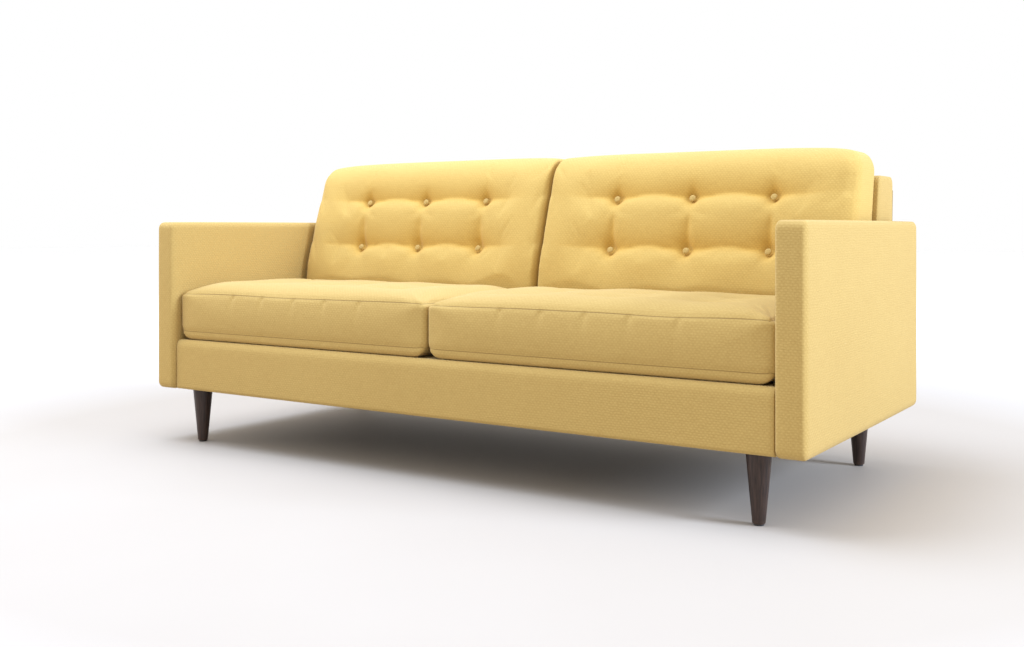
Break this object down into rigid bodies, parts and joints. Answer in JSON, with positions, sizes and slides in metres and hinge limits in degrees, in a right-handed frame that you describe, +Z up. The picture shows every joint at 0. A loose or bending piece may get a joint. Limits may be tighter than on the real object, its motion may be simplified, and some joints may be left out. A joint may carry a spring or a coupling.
{
  "type": "two-cushion sofa with wooden legs",
  "caption": "Upholstered sofa with thin track arms, loose seat cushions, button-tufted loose back cushions and round tapered wooden legs.",
  "frame": {"origin": "on the floor, under the middle of the sofa's outline", "axes": "+X along the sofa to the right as seen from the front, -Y towards the front, +Z up"},
  "size_m": [2, 0.9349, 0.8597],
  "materials": {
    "upholstery_fabric": "matte",
    "cushion_fabric": "matte",
    "button_fabric": "matte",
    "leg_wood": "satin",
    "frame_wood": "matte",
    "foam": "matte",
    "deck_cloth": "matte",
    "dust_cloth": "matte",
    "webbing": "matte",
    "spring_steel": "satin",
    "bolt_steel": "satin",
    "glide_plastic": "matte"
  },
  "bodies": {
    "sofa_frame": {"front_rail": "frame_wood", "rear_seat_rail": "frame_wood", "back_bottom_rail": "frame_wood", "center_stretcher": "frame_wood", "corner_block_front_left": "frame_wood", "corner_block_front_right": "frame_wood", "corner_block_rear_left": "frame_wood", "corner_block_rear_right": "frame_wood", "arm_frame_left": "frame_wood", "arm_frame_right": "frame_wood", "arm_cover_left": "upholstery_fabric", "arm_cover_right": "upholstery_fabric", "rail_cover": "upholstery_fabric", "seat_spring_1": "spring_steel", "seat_spring_2": "spring_steel", "seat_spring_3": "spring_steel", "seat_spring_4": "spring_steel", "seat_spring_5": "spring_steel", "seat_spring_6": "spring_steel", "seat_deck": "deck_cloth", "dust_cover": "dust_cloth", "back_post_left": "frame_wood", "back_post_right": "frame_wood", "back_top_rail": "frame_wood", "back_lower_rail": "frame_wood", "back_webbing": "webbing", "back_cover": "upholstery_fabric", "outside_back": "upholstery_fabric", "leg_front_left": "leg_wood", "leg_front_right": "leg_wood", "leg_rear_left": "leg_wood", "leg_rear_right": "leg_wood", "glide_front_left": "glide_plastic", "glide_front_right": "glide_plastic", "glide_rear_left": "glide_plastic", "glide_rear_right": "glide_plastic", "leg_bolt_front_left": "bolt_steel", "leg_bolt_front_right": "bolt_steel", "leg_bolt_rear_left": "bolt_steel", "leg_bolt_rear_right": "bolt_steel"},
    "seat_cushion_left": {"seat_cushion_left_cover": "cushion_fabric", "seat_cushion_left_core": "foam"},
    "seat_cushion_right": {"seat_cushion_right_cover": "cushion_fabric", "seat_cushion_right_core": "foam"},
    "back_cushion_left": {"back_cushion_left_cover": "cushion_fabric", "back_cushion_left_core": "foam", "back_button_left_1": "button_fabric", "back_button_left_2": "button_fabric", "back_button_left_3": "button_fabric", "back_button_left_4": "button_fabric", "back_button_left_5": "button_fabric", "back_button_left_6": "button_fabric"},
    "back_cushion_right": {"back_cushion_right_cover": "cushion_fabric", "back_cushion_right_core": "foam", "back_button_right_1": "button_fabric", "back_button_right_2": "button_fabric", "back_button_right_3": "button_fabric", "back_button_right_4": "button_fabric", "back_button_right_5": "button_fabric", "back_button_right_6": "button_fabric"}
  },
  "joints": [
    {"name": "seat_cushion_left_lift", "type": "slide", "parent": "sofa_frame", "child": "seat_cushion_left", "axis": [0, 0, 1], "range_m": [0, 0.36]},
    {"name": "seat_cushion_right_lift", "type": "slide", "parent": "sofa_frame", "child": "seat_cushion_right", "axis": [0, 0, 1], "range_m": [0, 0.36]},
    {"name": "back_cushion_left_lift", "type": "slide", "parent": "sofa_frame", "child": "back_cushion_left", "axis": [0, 0.165, 0.9863], "range_m": [0, 0.36]},
    {"name": "back_cushion_right_lift", "type": "slide", "parent": "sofa_frame", "child": "back_cushion_right", "axis": [0, 0.165, 0.9863], "range_m": [0, 0.36]}
  ]
}
